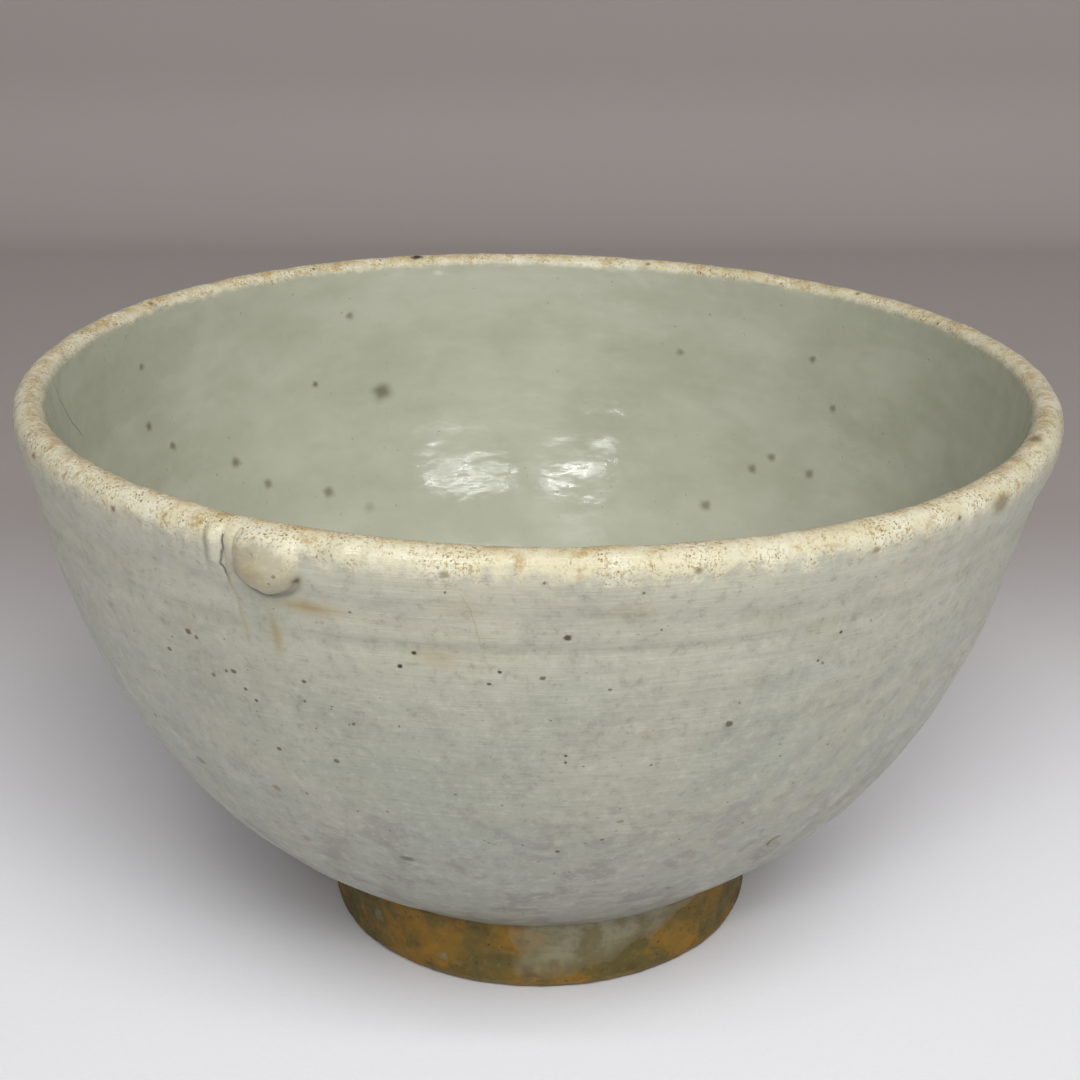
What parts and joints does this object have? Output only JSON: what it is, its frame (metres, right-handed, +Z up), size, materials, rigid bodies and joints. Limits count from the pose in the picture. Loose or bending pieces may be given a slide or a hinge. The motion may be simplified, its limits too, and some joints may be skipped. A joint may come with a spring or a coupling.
{
  "type": "matcha bowl",
  "caption": "Hand-thrown stoneware tea bowl: grey-green glaze with iron specks, cream speckled lip, small bead of glaze under the lip, bare turned foot.",
  "frame": {"origin": "centre of the face that the foot rests on", "axes": "+Z up along the bowl's axis of turning; -Y is the bowl's front, with the bead of glaze to the front left"},
  "size_m": [0.125, 0.125, 0.071],
  "materials": {
    "bare_clay": "fired clay, bare and matte, brown to ochre",
    "grey_glaze": "grey-green ash glaze, semi-gloss, fine wiped lines and iron specks",
    "well_glaze": "grey-green ash glaze inside, glossy",
    "lip_glaze": "cream glaze, glossy, densely speckled with ochre",
    "bead_glaze": "thick glaze bead, glossy, tinted ochre",
    "foot_glaze": "thin grey-green glaze run",
    "iron_dark": "dark iron melted through the glaze",
    "iron_soft": "iron spot veiled by the glaze over it",
    "iron_ochre": "ochre iron spot in the cream glaze"
  },
  "bodies": {
    "root": {"clay_body": "bare_clay", "foot_ring": "bare_clay", "outer_glaze": "grey_glaze", "inner_glaze": "well_glaze", "lip_glaze": "lip_glaze", "glaze_drip": "bead_glaze", "foot_glaze_runs": "foot_glaze", "iron_spots_outer": "iron_dark", "iron_spots_inner": "iron_soft", "iron_spots_lip": "iron_ochre"}
  },
  "joints": []
}
